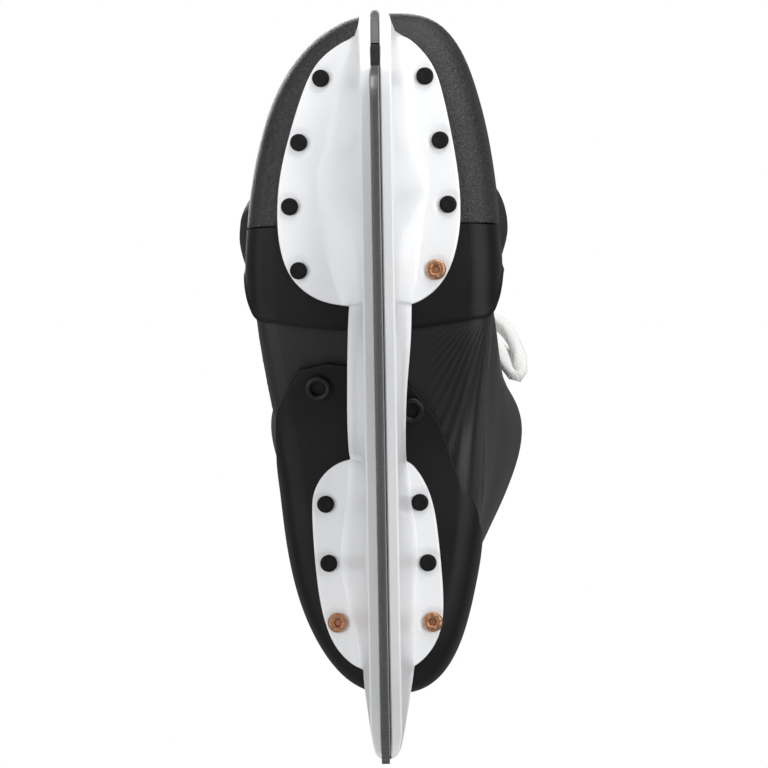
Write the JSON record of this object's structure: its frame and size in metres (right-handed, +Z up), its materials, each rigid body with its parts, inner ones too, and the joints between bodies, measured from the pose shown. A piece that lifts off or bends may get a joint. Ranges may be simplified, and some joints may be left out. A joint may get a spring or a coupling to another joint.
{
  "type": "ice hockey skate",
  "caption": "Ice hockey skate for the right foot: composite boot with toe cap and laces, riveted plastic blade holder and removable steel runner.",
  "frame": {"origin": "middle of the flat bottom of the steel runner, where it stands on the ice", "axes": "+Z up, -Y towards the toe, +Y towards the heel, +X towards the big-toe side"},
  "size_m": [0.1237, 0.2985, 0.2604],
  "materials": {
    "grained_black_plastic": "grained, semi matte",
    "satin_black_plastic": "satin",
    "carbon_weave": "woven carbon under satin resin",
    "white_nylon": "smooth moulded",
    "ground_steel": "ground",
    "copper": "copper, satin",
    "black_rivet": "black oxide",
    "white_felt": "felt",
    "grey_lining": "brushed microfibre",
    "white_lace": "flat woven",
    "black_rubber": "matt"
  },
  "bodies": {
    "skate": {"toe_cap": "grained_black_plastic", "forefoot_outsole": "satin_black_plastic", "heel_outsole": "satin_black_plastic", "boot_shell": "carbon_weave", "ankle_liner": "grey_lining", "collar_padding": "grey_lining", "tongue_lower": "white_felt", "footbed": "grey_lining", "blade_holder": "white_nylon", "nose_hook": "ground_steel", "lock_spring": "ground_steel", "vent_grommet_lateral": "black_rubber", "vent_grommet_medial": "black_rubber", "vent_screen_lateral": "black_rivet", "vent_screen_medial": "black_rivet", "lace_under": "white_lace", "lace_over": "white_lace", "lace_knot": "white_lace", "bow_loop_medial": "white_lace", "bow_loop_lateral": "white_lace", "rivet_front_1": "black_rivet", "rivet_front_2": "black_rivet", "rivet_front_3": "black_rivet", "rivet_front_4": "black_rivet", "rivet_front_5": "black_rivet", "rivet_front_6": "black_rivet", "rivet_front_7": "black_rivet", "rivet_front_8": "copper", "rivet_rear_1": "black_rivet", "rivet_rear_2": "black_rivet", "rivet_rear_3": "copper", "rivet_rear_4": "black_rivet", "rivet_rear_5": "black_rivet", "rivet_rear_6": "copper", "eyelet_medial_1": "copper", "eyelet_medial_2": "copper", "eyelet_medial_3": "copper", "eyelet_medial_4": "copper", "eyelet_medial_5": "copper", "eyelet_medial_6": "copper", "eyelet_medial_7": "copper", "eyelet_medial_8": "copper", "eyelet_medial_9": "copper", "eyelet_medial_10": "copper", "eyelet_lateral_1": "copper", "eyelet_lateral_2": "copper", "eyelet_lateral_3": "copper", "eyelet_lateral_4": "copper", "eyelet_lateral_5": "copper", "eyelet_lateral_6": "copper", "eyelet_lateral_7": "copper", "eyelet_lateral_8": "copper", "eyelet_lateral_9": "copper", "eyelet_lateral_10": "copper"},
    "steel_runner": {"runner": "ground_steel"},
    "nose_lock": {"toe_lock": "black_rubber"},
    "rear_guard": {"tendon_guard": "satin_black_plastic"},
    "front_flap": {"tongue_flap": "white_felt"}
  },
  "joints": [
    {"name": "runner_release", "type": "slide", "parent": "skate", "child": "steel_runner", "axis": [0, 0, -1], "range_m": [0, 0.02]},
    {"name": "toe_lock_press", "type": "slide", "parent": "skate", "child": "nose_lock", "axis": [0, 0, 1], "range_m": [0, 0.003], "stiffness_N_per_m": 400, "springref_m": -0.001, "deforming": ["lock_spring"]},
    {"name": "tendon_guard_flex", "type": "hinge", "parent": "skate", "child": "rear_guard", "pos_m": [0.0041, 0.1125, 0.216], "axis": [-1, 0, 0], "range_deg": [0, 28], "stiffness_Nm_per_rad": 3},
    {"name": "tongue_flap_fold", "type": "hinge", "parent": "skate", "child": "front_flap", "pos_m": [0.0014, -0.0127, 0.205], "axis": [1, 0, 0], "range_deg": [0, 45], "stiffness_Nm_per_rad": 0.6}
  ]
}
